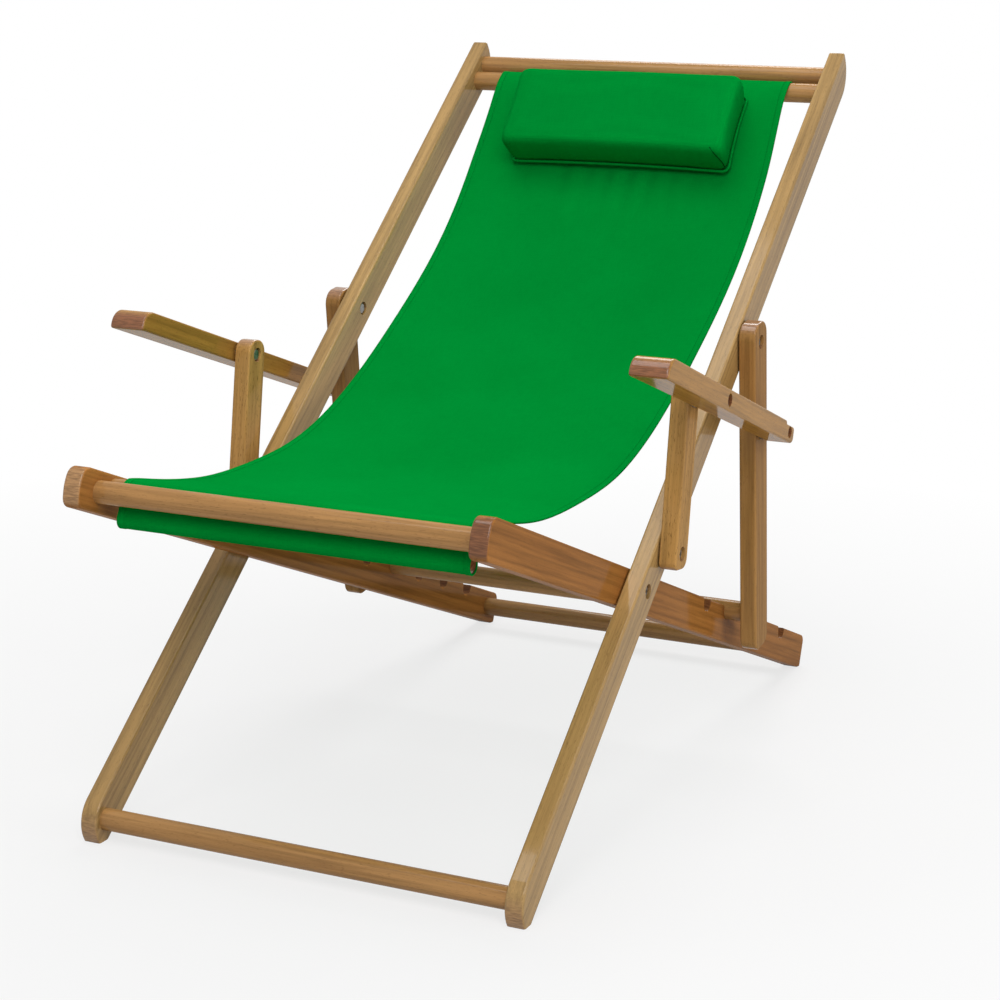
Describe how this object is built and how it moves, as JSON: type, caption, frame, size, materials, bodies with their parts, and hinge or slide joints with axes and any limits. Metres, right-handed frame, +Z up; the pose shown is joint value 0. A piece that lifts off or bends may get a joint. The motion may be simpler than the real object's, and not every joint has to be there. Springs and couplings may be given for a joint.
{
  "type": "sling chair",
  "caption": "Folding wooden sling chair: crossed back and seat frames, notched prop, linked armrests, canvas sling clamped between dowels and a boxed head pillow.",
  "frame": {"origin": "on the floor, midway across and midway between the front and rear ends", "axes": "X across the chair, +Y from the front to the rear, +Z up"},
  "size_m": [0.6728, 1.067, 0.838],
  "materials": {
    "wood": "gloss varnish",
    "canvas": "plain woven canvas",
    "foam": "open foam",
    "steel": "zinc plated"
  },
  "bodies": {
    "back_frame": {"back_rail_left": "wood", "back_rail_right": "wood", "top_dowel_lower": "wood", "top_dowel_upper": "wood", "foot_dowel": "wood", "top_rod": "wood", "sling": "canvas", "pillow_cover": "canvas", "pillow_foam": "foam", "main_pivot_bolts": "steel", "main_pivot_nuts": "steel", "main_pivot_washers": "steel", "prop_pivot_bolts": "steel", "prop_pivot_nuts": "steel", "prop_pivot_washers": "steel", "post_pivot_bolts": "steel", "post_pivot_nuts": "steel", "post_pivot_washers": "steel"},
    "seat_frame": {"seat_rail_left": "wood", "seat_rail_right": "wood", "front_dowel": "wood", "inner_front_dowel": "wood", "rear_dowel": "wood", "front_rod": "wood"},
    "prop_frame": {"prop_leg_left": "wood", "prop_leg_right": "wood", "prop_crossbar": "wood", "arm_rear_bolts": "steel", "arm_rear_nuts": "steel", "arm_rear_spacers": "steel"},
    "left_post": {"arm_post_left": "wood", "arm_front_nut_left": "steel"},
    "left_arm": {"armrest_left": "wood", "arm_front_bolt_left": "steel", "arm_front_spacer_left": "steel"},
    "right_post": {"arm_post_right": "wood", "arm_front_nut_right": "steel"},
    "right_arm": {"armrest_right": "wood", "arm_front_bolt_right": "steel", "arm_front_spacer_right": "steel"}
  },
  "joints": [
    {"name": "seat_fold", "type": "hinge", "parent": "back_frame", "child": "seat_frame", "pos_m": [0, -0.1509, 0.275], "axis": [-1, 0, 0], "range_deg": [0, 114], "deforming": ["sling"]},
    {"name": "prop_swing", "type": "hinge", "parent": "back_frame", "child": "prop_frame", "pos_m": [0, 0.14764, 0.51332], "axis": [1, 0, 0], "range_deg": [0, 112]},
    {"name": "post_swing_left", "type": "hinge", "parent": "back_frame", "child": "left_post", "pos_m": [0, -0.10635, 0.31056], "axis": [1, 0, 0], "range_deg": [-38.07, 0]},
    {"name": "arm_swing_left", "type": "hinge", "parent": "prop_frame", "child": "left_arm", "pos_m": [0, 0.16257, 0.40434], "axis": [1, 0, 0], "range_deg": [-63.17, 0]},
    {"name": "post_swing_right", "type": "hinge", "parent": "back_frame", "child": "right_post", "pos_m": [0, -0.10635, 0.31056], "axis": [1, 0, 0], "range_deg": [-38.07, 0]},
    {"name": "arm_swing_right", "type": "hinge", "parent": "prop_frame", "child": "right_arm", "pos_m": [0, 0.16257, 0.40434], "axis": [1, 0, 0], "range_deg": [-63.17, 0]}
  ],
  "couplings": [
    {"joint": "post_swing_left", "follows": "prop_swing", "ratio": -0.33994},
    {"joint": "arm_swing_left", "follows": "prop_swing", "ratio": -0.56398},
    {"joint": "post_swing_right", "follows": "prop_swing", "ratio": -0.33994},
    {"joint": "arm_swing_right", "follows": "prop_swing", "ratio": -0.56398}
  ]
}
